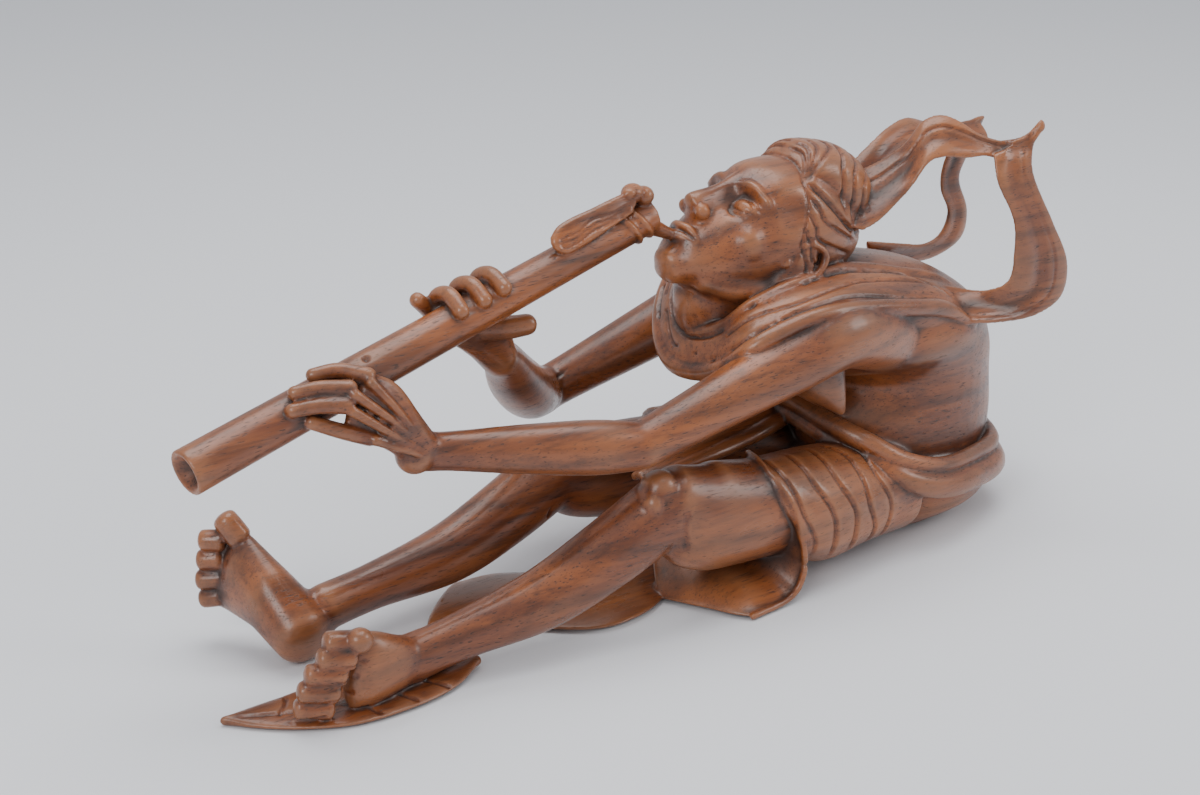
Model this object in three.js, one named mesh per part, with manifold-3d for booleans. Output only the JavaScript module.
// A seated flute player carved from one block of dark tropical hardwood, with the flute, the headcloth ends,
// the scarf, the sash, the waist cloth and the leaf under the feet all left in the same piece of wood.
// Millimetres, +Z up. The player faces -X, so the player's left side is -Y.
import * as THREE from "three";
import { ParametricGeometry } from "three/addons/geometries/ParametricGeometry.js";
import { mergeVertices } from "three/addons/utils/BufferGeometryUtils.js";
import Module from "manifold-3d";

// Driving sizes
const CENTRE = [24.1, 7.5]; // middle of the carving in the sketch frame below, moved to the origin at the end
const CLOTH = 1.7; // half the thickness of a free headcloth end
const FLUTE = { mouth: [28.7, 2, 177], far: [-215.4, -14.2, 118.5], mouthRadius: 8.1, farRadius: 10 };
const HEAD = { ear: [92, 0, 147], tilt: 41 }; // the point between the ears, and how far the crown is above level

// The main joints of the figure, where L is the player's left and R the right
const J = {
  shoulderL: [103, -48, 119], elbowL: [-12, -45, 90], wristL: [-109, -22, 104],
  shoulderR: [127, 46, 118], elbowR: [20, 73, 73], wristR: [-44, 17, 121],
  hipL: [147, -29, 32], kneeL: [5.6, -44.6, 55.7], ankleL: [-126, -31, 15],
  hipR: [147, 29, 32], kneeR: [3.8, 34.7, 51.3], ankleR: [-136, 22, 22],
};

const V = (p) => new THREE.Vector3(...p);
const UP = new THREE.Vector3(0, 0, 1);
const wasm = await Module();
wasm.setup();

// A closed body through a row of oval sections. Each section has a centre c and two half axes a and b.
// A cap of length 0 is flat, and a longer one is rounded.
function loft(sections, { around = 12, steps = 1, caps = [4, 4], closed = false } = {}) {
  const curve = (key) => new THREE.CatmullRomCurve3(sections.map((s) => s[key]), closed);
  const [centre, first, second] = ["c", "a", "b"].map(curve);
  const spans = (closed ? sections.length : sections.length - 1) * steps;
  const rows = [];
  const CAP_ROWS = 2;
  if (!closed) for (let i = 0; i < CAP_ROWS; i++) rows.push({ t: 0, bulge: -1, angle: (i / CAP_ROWS) * (Math.PI / 2) });
  for (let i = 0; i <= spans; i++) rows.push({ t: i / spans, bulge: 0, angle: Math.PI / 2 });
  if (!closed) for (let i = CAP_ROWS - 1; i >= 0; i--) rows.push({ t: 1, bulge: 1, angle: (i / CAP_ROWS) * (Math.PI / 2) });
  const at = (u, v, target) => {
    const row = rows[Math.round(v * (rows.length - 1))];
    const turn = 2 * Math.PI * (u === 1 ? 0 : u);
    const a = first.getPoint(row.t), b = second.getPoint(row.t);
    const out = a.clone().cross(b).normalize();
    const tangent = centre.getTangent(row.t);
    if (out.dot(tangent) < 0) out.negate();
    const reach = row.bulge * caps[row.bulge < 0 ? 0 : 1] * Math.cos(row.angle);
    target.copy(centre.getPoint(row.t))
      .addScaledVector(a, Math.cos(turn) * Math.sin(row.angle))
      .addScaledVector(b, Math.sin(turn) * Math.sin(row.angle))
      .addScaledVector(out, reach);
  };
  return new ParametricGeometry(at, around, rows.length - 1);
}

// A limb: stations are [x, y, z, half width, half height], and up says which way its height points.
function limb(stations, { up = UP, ...options } = {}) {
  const path = new THREE.CatmullRomCurve3(stations.map((s) => V(s)));
  const sections = stations.map(([x, y, z, w, h = w], i) => {
    const along = path.getTangent(i / (stations.length - 1));
    const high = up.clone().addScaledVector(along, -up.dot(along)).normalize();
    return { c: new THREE.Vector3(x, y, z), a: along.clone().cross(high).multiplyScalar(w), b: high.multiplyScalar(h) };
  });
  const round = (s) => 0.8 * Math.min(s[3], s[4] ?? s[3]);
  return loft(sections, { caps: [round(stations[0]), round(stations.at(-1))], ...options });
}

// A trunk: stations are [front point, back point, half width], for a body that is the same left and right.
function trunk(stations, options) {
  return loft(stations.map(([front, back, width]) => ({
    c: V(front).add(V(back)).multiplyScalar(0.5),
    a: V(back).sub(V(front)).multiplyScalar(0.5),
    b: new THREE.Vector3(0, width, 0),
  })), { around: 16, ...options });
}

// A band of cloth between two edges, each a row of points, with a rounded section.
function band(edgeA, edgeB, half = CLOTH, options = {}) {
  const middle = edgeA.map((p, i) => V(p).add(V(edgeB[i])).multiplyScalar(0.5));
  const path = new THREE.CatmullRomCurve3(middle);
  return loft(middle.map((c, i) => {
    const a = V(edgeA[i]).sub(V(edgeB[i])).multiplyScalar(0.5);
    const b = path.getTangent(i / (middle.length - 1)).cross(a).setLength(half);
    return { c, a, b };
  }), { around: 8, caps: [half, half], ...options });
}

// Joins two points: the point at share t of the way from p to q.
const between = (p, q, t) => p.map((v, i) => v + (q[i] - v) * t);
const shift = (p, d) => p.map((v, i) => v + d[i]);

// The same closed surface as a solid for joining and cutting.
function solid(geometry) {
  const bare = geometry.clone();
  bare.deleteAttribute("normal");
  bare.deleteAttribute("uv");
  const merged = mergeVertices(bare, 1e-3);
  const index = merged.index.array;
  const kept = [];
  for (let i = 0; i < index.length; i += 3) {
    const [a, b, c] = [index[i], index[i + 1], index[i + 2]];
    if (a !== b && b !== c && c !== a) kept.push(a, b, c);
  }
  const make = (tris) => new wasm.Manifold(new wasm.Mesh({
    numProp: 3, vertProperties: merged.attributes.position.array, triVerts: new Uint32Array(tris),
  }));
  const made = make(kept);
  if (made.volume() > 0) return made;
  for (let i = 0; i < kept.length; i += 3) [kept[i], kept[i + 1]] = [kept[i + 1], kept[i]];
  return make(kept);
}

// Body: front and back points of the middle line, from the seat to the root of the neck
const torso = [
  trunk([
    [[150, 0, 4], [202, 0, 1.5], 32], [[132, 0, 32], [230, 0, 16], 43], [[122, 0, 60], [241, 0, 40], 41],
    [[136, 0, 76], [238, 0, 66], 39], [[130, 0, 84], [235, 0, 88], 44], [[112, 0, 86], [221, 0, 109], 50],
    [[96, 0, 94], [194, 0, 126], 48], [[80, 0, 100], [162, 0, 136], 42], [[66, 0, 106], [136, 0, 142], 26],
  ], { around: 16 }),
  trunk([ // hips, out to the sash all round
    [[126, 0, 6], [206, 0, 2], 34], [[120, 0, 24], [226, 0, 12], 50], [[118, 0, 44], [234, 0, 24], 55],
    [[122, 0, 56], [237, 0, 36], 50],
  ], { around: 16, caps: [1, 3] }),
  trunk([[[62, 0, 100], [130, 0, 128], 23], [[52, 0, 120], [124, 0, 138], 19], [[55, 0, 138], [120, 0, 150], 18]]),
  ...[-1, 1].map((s) => limb([
    [104, 29 * s, 100, 15, 13], [108, 34 * s, 86, 10, 9], [113, 38 * s, 76, 3, 3],
  ], { up: new THREE.Vector3(0, -1, 0) })),
];

// Head: its own frame, where f is forward to the face, u is up to the crown and y stays the player's side
const tilt = THREE.MathUtils.degToRad(HEAD.tilt);
const head = (f, u, y = 0) => [
  HEAD.ear[0] - f * Math.sin(tilt) + u * Math.cos(tilt), y, HEAD.ear[2] + f * Math.cos(tilt) + u * Math.sin(tilt),
];
const faceward = V(head(1, 0)).sub(V(head(0, 0)));
const headTrunk = (rows, options) =>
  trunk(rows.map(([u, back, front, width]) => [head(front, u), head(back, u), width]), options);
const headParts = [
  headTrunk([
    [-41, 28, 44, 10], [-34, 12, 47, 16], [-22, -6, 46, 22], [-8, -20, 44, 26], [6, -28, 43, 28],
    [20, -32, 40, 29], [34, -34, 28, 26], [46, -28, 19, 20],
  ], { caps: [3, 6], around: 16 }),
  limb([[...head(41, 10), 3.5, 4], [...head(48, -3), 4.5, 5], [...head(51, -12), 6.5, 4.5]], { up: faceward }),
  limb([[...head(43, -26, -8), 3, 3], [...head(46, -26), 4.5, 4], [...head(43, -26, 8), 3, 3]], { up: faceward, around: 8 }),
  // headcloth wound round the head, and its bun at the back of the crown
  headTrunk([[18, -36, 24, 24], [30, -39, 31, 31], [42, -38, 30, 29], [50, -30, 25, 20]], { caps: [2, 5] }),
  limb([[...head(-6, 42), 24, 25], [...head(-10, 54), 20, 22], [...head(-14, 62), 12, 15]], { up: faceward }),
  ...[-1, 1].map((s) => limb([
    [...head(5, -15, 22 * s), 3, 4], [...head(2, -4, 26 * s), 3.5, 6], [...head(-4, 8, 27 * s), 3.5, 8],
  ], { up: faceward, around: 8 })),
];

// Headcloth ends: two free ribbons that leave the bun, crest, turn over and come down to the shoulders.
// Each is drawn by its two edges.
const ribbons = [
  band(
    [[138, -2, 172], [152, -3, 178], [166, -6, 183], [176, -10, 190], [182, -14, 200], [190, -18, 203], [197, -24, 200], [204, -30, 194],
      [215, -34, 189], [226, -38, 191]],
    [[126, -25, 156], [143, -26, 159], [157, -26, 167], [165, -27, 174], [173, -29, 184], [182, -31, 186], [194, -34, 184], [204, -36, 184],
      [214, -38, 181], [224, -42, 178]], CLOTH),
  band(
    [[231, -42, 197], [229, -44, 174], [244, -46, 146], [255, -47, 125], [253, -47, 107], [235, -47, 100], [213, -47, 101],
      [188, -46, 105]],
    [[206, -38, 186], [205, -44, 172], [215, -46, 153], [217, -46, 136], [216, -44, 121], [205, -38, 117], [188, -32, 121],
      [170, -28, 126]], CLOTH),
  band(
    [[152, 8, 176], [173, 10, 187], [185, 13, 191], [200, 16, 193], [217, 19, 188], [238, 22, 183], [258, 25, 182]],
    [[150, -8, 160], [172, -4, 170], [186, 0, 177], [206, 4, 181], [223, 8, 175], [239, 12, 172], [262, 18, 171]],
    CLOTH),
  band(
    [[266, 25, 182], [259, 30, 160], [255, 30, 149], [262, 30, 132], [260, 31, 117], [243, 31, 110], [224, 31, 110],
      [200, 32, 116]],
    [[244, 22, 178], [241, 28, 160], [240, 28, 147], [246, 28, 134], [241, 28, 123], [229, 27, 120], [211, 25, 124],
      [186, 24, 130]], CLOTH),
];

// Scarf: a wide soft collar, drawn by its outer and inner edges from the near shoulder round the chest to the far one
const scarf = band(
  [[196, -43, 102], [146, -48, 122], [104, -54, 131], [74, -53, 130], [50, -46, 123], [42, -34, 110], [37, -18, 101],
    [37, 2, 101], [42, 20, 110], [60, 38, 122], [84, 50, 130], [112, 54, 133], [150, 48, 125], [190, 36, 112]],
  [[206, -24, 112], [166, -20, 130], [129, -22, 140], [91, -30, 140], [68, -26, 134], [56, -20, 124], [50, -10, 117],
    [50, 2, 116], [53, 12, 121], [66, 24, 132], [90, 30, 140], [126, 22, 141], [160, 20, 131], [196, 20, 117]],
  3.6);

// Flute, with the leaf tied on top of its mouth end
const fluteAt = (t, side = 0, high = 0) => {
  const p = between(FLUTE.mouth, FLUTE.far, t);
  return [p[0] - high * 0.23, p[1] + side, p[2] + high * 0.97];
};
const fluteRadius = (t) => FLUTE.mouthRadius + (FLUTE.farRadius - FLUTE.mouthRadius) * t;
const flute = [
  limb([0, 0.35, 0.7, 1].map((t) => [...fluteAt(t), fluteRadius(t)]), { around: 16, caps: [1.5, 1] }),
  limb([[26, 2, 185, 6, 6], [20, 2, 191, 5, 4.5]], { around: 8 }),
  limb([[18, 2, 188, 4.5, 3], [0, 2, 182, 6, 4.5], [-18, 2, 174, 5, 4]], { around: 10 }),
];

// Arms
const upperArm = (shoulder, elbow) => [
  [...shoulder, 16, 17], [...between(shoulder, elbow, 0.25), 14.5, 15.5], [...between(shoulder, elbow, 0.55), 12.5, 13.5],
  [...between(shoulder, elbow, 0.85), 10.5, 11], [...elbow, 10, 10.5],
];
const foreArm = (elbow, wrist) => [
  [...elbow, 9.5, 10.5], [...between(elbow, wrist, 0.22), 11, 12.5], [...between(elbow, wrist, 0.55), 10, 11],
  [...between(elbow, wrist, 0.88), 7.5, 8.5], [...wrist, 7.5, 8.5],
];
const arms = [
  limb([[144, -36, 106, 15, 17], ...upperArm(J.shoulderL, J.elbowL)]),
  limb(foreArm(J.elbowL, J.wristL)),
  limb([[158, 34, 106, 15, 17], ...upperArm(J.shoulderR, J.elbowR)]),
  limb(foreArm(J.elbowR, J.wristR)),
];

// Hands: a palm, then fingers that lie along the flute. Each finger is [knuckle, tip].
const finger = ([knuckle, ...rest], radius) =>
  limb([knuckle, ...rest].map((p, i) => [...p, radius * (1 - 0.1 * i)]), { around: 7 });
const sideways = new THREE.Vector3(0, -1, 0);
const hands = [
  limb([[...J.wristL, 8, 8], [-122, -25, 119, 11, 6.5], [-134, -24, 131, 15, 5], [-142, -23, 134, 15, 4]],
    { up: sideways }),
  ...[
    [[-135, -22, 145], [-154, -12, 147]], [[-143, -25, 141], [-166, -17, 141]],
    [[-145, -26, 134], [-171, -20, 137]], [[-133, -24, 118], [-149, -23, 123], [-163, -20, 129]],
    [[-112, -18, 110], [-120, -10, 116], [-130, -2, 124]],
  ].map((points) => finger(points, 4.2)),
  limb([[...J.wristR, 9, 9], [-52, 14, 133, 12, 7], [-62, 12, 146, 16, 5.5]], { up: new THREE.Vector3(0, 1, 0) }),
  ...[
    [[-60, 14, 156], [-59, 4, 168], [-59, -8, 162]], [[-68, 14, 154], [-71, 4, 165], [-70, -9, 157]],
    [[-76, 14, 152], [-81, 4, 162], [-80, -9, 155]], [[-80, 12, 147], [-90, 8, 157], [-95, 4, 163]],
    [[-46, 10, 132], [-40, 2, 136], [-32, 0, 139]],
  ].map((points) => finger(points, 4.2)),
];

// Legs, with the swell of each calf hanging below the line of the shin
const thigh = (hip, knee, drop) => [
  [...hip, 25, 26], [...between(hip, knee, 0.35), 22, 24], [...shift(between(hip, knee, 0.7), [0, 0, -drop]), 19, 22],
  [...shift(knee, [0, 0, -drop]), 16, 20],
];
const shin = (knee, ankle, sag) => [
  [...knee, 15, 17], [...shift(between(knee, ankle, 0.25), [0, 0, -sag * 0.7]), 14, 16.5],
  [...shift(between(knee, ankle, 0.5), [0, 0, -sag]), 13, 14.5],
  [...shift(between(knee, ankle, 0.8), [0, 0, -sag * 0.4]), 9.5, 11], [...ankle, 9.5, 11],
];
const legs = [
  limb(thigh(J.hipL, J.kneeL, 2)), limb(shin(J.kneeL, J.ankleL, 9), { steps: 2 }),
  limb(thigh(J.hipR, J.kneeR, 6)), limb(shin(J.kneeR, J.ankleR, 10), { steps: 2 }),
];

// Feet: the near one lies on its outer edge on the leaf, and the far one stands on its heel with its toes out
const toe = (root, tip, radius) => limb([[...root, radius], [...tip, radius * 0.9]], { around: 6 });
const oval = (rows) => rows.map(([c, a, b]) => ({ c: V(c), a: V(a), b: V(b) }));
const feet = [
  limb([[-112, -22, 12, 10, 9], [-130, -32, 16, 12, 9], [-146, -35, 19, 17, 9], [-155, -35, 20, 19, 7]],
    { up: sideways }),
  toe([-150, -41, 36], [-163, -37, 38], 6.2), toe([-154, -38, 28], [-167, -35, 30], 5.6),
  toe([-157, -37, 20], [-173, -32, 23], 5.4), toe([-159, -36, 13], [-176, -30, 15], 5.2),
  toe([-160, -35, 7], [-177, -28, 7], 5),
  loft(oval([
    [[-148, 18, 14], [3, 5, -14], [15, 2, 2]], [[-155, 35, 27], [1, 6, -15], [12, 3, 3]],
    [[-161, 53, 35], [-3, 6, -19], [8, 3, 1]], [[-163, 58, 35], [-4, 6, -19], [6, 2, 1]],
  ]), { caps: [8, 3] }),
  toe([-159, 50, 50], [-163, 56, 59], 5.8), toe([-163, 58, 45], [-170, 63, 46], 5.4),
  toe([-165, 60, 35], [-172, 65, 36], 5.3), toe([-166, 61, 26], [-171, 67, 25], 5.1),
  toe([-165, 61, 18], [-169, 67, 16], 4.8),
];

// Waist cloth: a rolled sash, a wrap over each thigh, the flared hem and the tails that reach the ground
const sashRun = [[126, 0, 62], [124, -30, 56], [134, -50, 44], [160, -60, 33], [192, -53, 26], [221, -35, 25], [237, 0, 28]];
const sashLoop = [...sashRun, ...sashRun.slice(1, -1).reverse().map(([x, y, z]) => [x, -y, z])];
const sashMiddle = new THREE.Vector3(182, 0, 44);
const sash = loft(sashLoop.map((p) => {
  const out = V(p).sub(sashMiddle).setZ(0).setLength(7.5);
  return { c: V(p), a: out, b: new THREE.Vector3(3, 0, 10) };
}), { closed: true, around: 10 });
const waistCloth = [
  sash,
  limb([[150, -28, 32, 30, 28], [120, -35, 35, 28, 28], [88, -42, 35, 25, 29], [68, -46, 38, 22, 27]], { caps: [6, 1] }),
  limb([[150, 28, 32, 30, 28], [120, 33, 35, 28, 27], [88, 36, 38, 24, 26], [70, 36, 42, 21, 24]], { caps: [6, 1] }),
  limb([[128, 8, 66, 10, 7], [92, 2, 60, 12, 5], [56, -4, 58, 10, 4], [18, -6, 54, 4, 3]]),
  band(
    [[60, -52, 50], [65, -59, 39], [68, -62, 27], [67, -63, 14], [58, -64, 4], [34, -67, 2], [24, -46, 2], [14, -28, 2]],
    [[66, -44, 44], [70, -38, 30], [62, -34, 24], [52, -30, 24], [42, -28, 24], [34, -26, 24], [30, -16, 22], [30, -4, 18]],
    2.5),
  band([[34, -16, 3], [16, -28, 2.2], [-2, -36, 2.2], [-24, -37, 2.2], [-42, -26, 2.2], [-66, 0, 2.2], [-88, 12, 2.2]],
    [[60, 16, 3], [42, 18, 2.5], [28, 20, 2.5], [6, 24, 2.5], [-16, 30, 2.5], [-34, 40, 2.5], [-52, 42, 2.5]], 3),
];

// Leaf under the near foot
const leafOutline = new THREE.Shape()
  .moveTo(-205, -10)
  .bezierCurveTo(-195, -24, -182, -42, -162, -46)
  .bezierCurveTo(-140, -49, -108, -44, -90, -32)
  .bezierCurveTo(-96, -14, -124, -4, -150, -6)
  .bezierCurveTo(-166, -4, -176, -8, -182, -3)
  .bezierCurveTo(-188, -6, -196, -8, -205, -10);
const leaf = new THREE.ExtrudeGeometry(leafOutline, {
  depth: 3, bevelEnabled: true, bevelThickness: 1, bevelSize: 1, bevelSegments: 1, curveSegments: 5,
}).translate(0, 0, 0.6);

// The carving is joined into one solid, cut flat where it rests, and moved to the middle
const parts = [
  ...torso, ...headParts, ...ribbons, scarf, ...flute, ...arms, ...hands, ...legs, ...feet, ...waistCloth, leaf,
].map(solid);
let carving = parts.reduce((sum, next) => sum.add(next));
const DETAIL = 0.65; // facets flatter than this are merged
const floor = new THREE.BoxGeometry(900, 900, 200).translate(0, 0, -100);
carving = carving.subtract(solid(floor)).translate([-CENTRE[0], -CENTRE[1], 0]).simplify(DETAIL);

const wood = new THREE.MeshStandardMaterial({ name: "dark_hardwood", color: 0x5a2e1c, roughness: 0.42, metalness: 0 });
const { vertProperties, triVerts } = carving.getMesh();
const geometry = new THREE.BufferGeometry()
  .setAttribute("position", new THREE.BufferAttribute(vertProperties, 3))
  .setIndex(new THREE.BufferAttribute(triVerts, 1));
geometry.computeVertexNormals();
const player = new THREE.Mesh(geometry, wood);
player.name = "flute_player";

const group = new THREE.Group();
group.name = "flute_player_carving";
group.add(player);
export default group;
